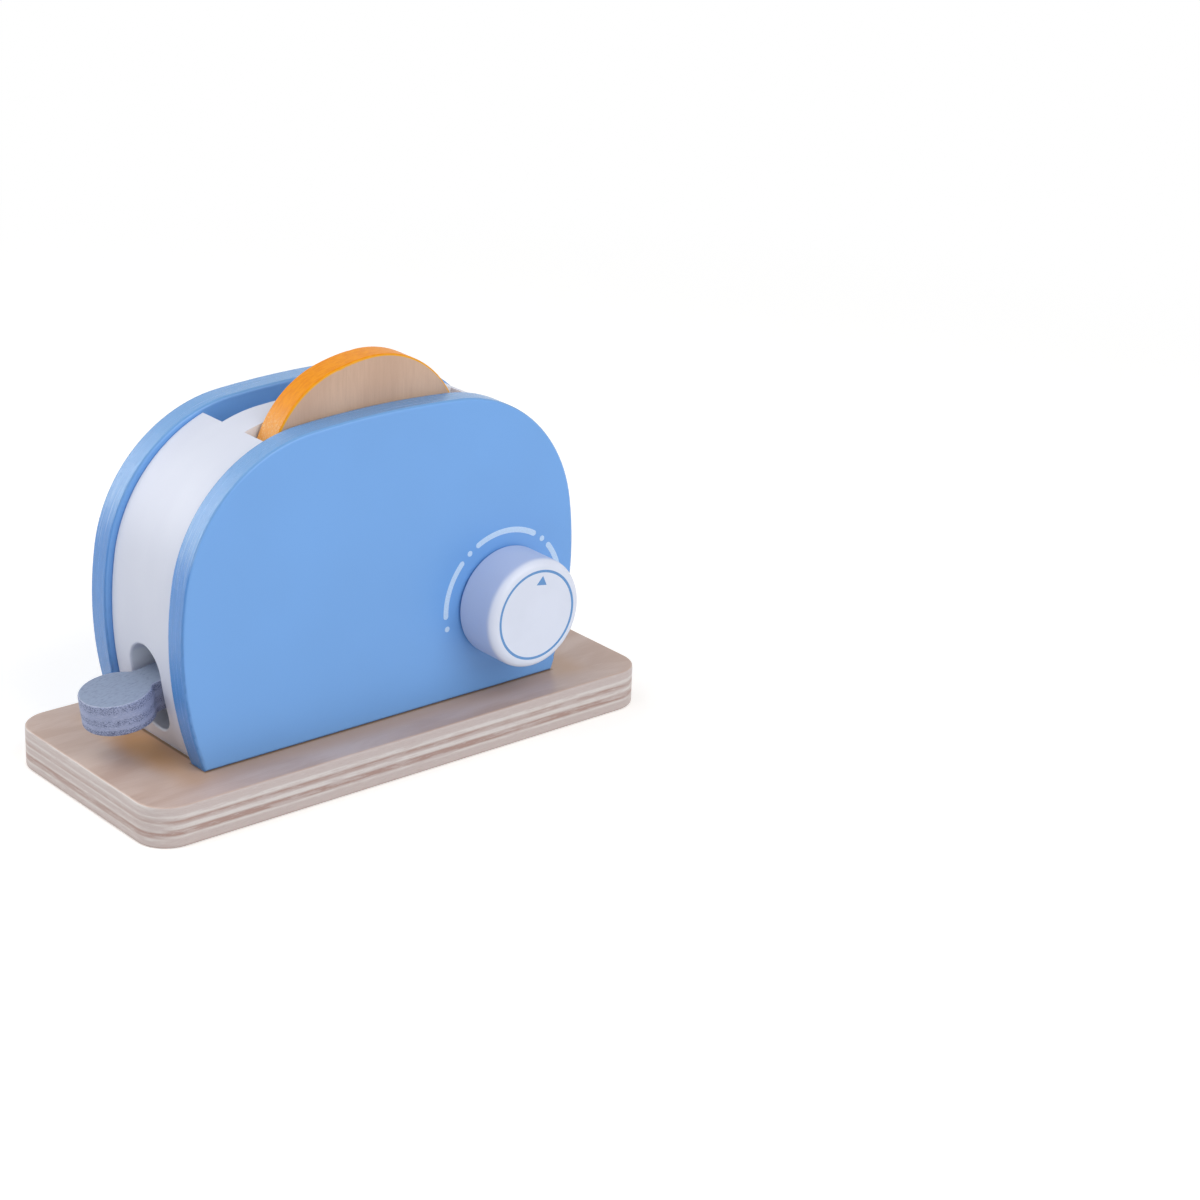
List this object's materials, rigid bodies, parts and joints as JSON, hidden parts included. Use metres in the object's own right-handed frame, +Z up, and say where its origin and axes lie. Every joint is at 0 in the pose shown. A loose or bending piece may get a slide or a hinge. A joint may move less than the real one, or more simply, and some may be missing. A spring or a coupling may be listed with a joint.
{
  "type": "toy toaster",
  "caption": "Wooden pretend-play toaster: round-shouldered body with two bread slots on a plywood base, a see-saw lever that lifts the toast, and a turning browning knob.",
  "frame": {"origin": "middle of the base board's underside, where the toy stands on a table", "axes": "+X along the base board away from the lever, -Y out of the front panel with the knob, +Z up"},
  "size_m": [0.22, 0.0977, 0.1509],
  "materials": {
    "base_plywood": "clear satin lacquer on birch plywood, plies bare at the edges",
    "blue_paint": "satin light blue paint on plywood",
    "white_paint": "satin cool white paint on wood",
    "grey_stain": "matt grey stain on plywood, plies showing at the edges",
    "bare_dowel": "bare birch dowel",
    "toast_plywood": "bare face with orange painted edges",
    "nylon": "dark nylon",
    "steel": "zinc-plated steel"
  },
  "bodies": {
    "toaster_body": {"base_board": "base_plywood", "base_screws": "steel", "front_panel": "blue_paint", "back_panel": "blue_paint", "left_end_block": "white_paint", "right_end_block": "white_paint", "slot_divider": "white_paint", "divider_dowels": "bare_dowel", "front_panel_dowels": "bare_dowel", "back_panel_dowels": "bare_dowel", "lever_axle": "bare_dowel", "lever_washers": "nylon"},
    "lever": {"lever": "grey_stain"},
    "lifter": {"lift_dowel": "bare_dowel"},
    "toast": {"toast_slice": "toast_plywood"},
    "knob": {"knob": "white_paint", "knob_shaft": "bare_dowel", "knob_washer": "nylon", "knob_retainer": "steel", "knob_screw": "steel"}
  },
  "joints": [
    {"name": "lever_rock", "type": "hinge", "parent": "toaster_body", "child": "lever", "pos_m": [-0.056, 0, 0.041], "axis": [0, -1, 0], "range_deg": [-17.4, 12]},
    {"name": "lifter_slide", "type": "slide", "parent": "toaster_body", "child": "lifter", "axis": [0, 0, 1], "range_m": [-0.0176, 0.0121]},
    {"name": "toast_lift_out", "type": "slide", "parent": "lifter", "child": "toast", "axis": [0, 0, 1], "range_m": [0, 0.1]},
    {"name": "knob_turn", "type": "hinge", "parent": "toaster_body", "child": "knob", "pos_m": [0.0535, -0.03, 0.0504], "axis": [0, -1, 0], "continuous": true}
  ],
  "couplings": [
    {"joint": "lever_rock", "follows": "lifter_slide", "rad_per_m": 17.24}
  ]
}
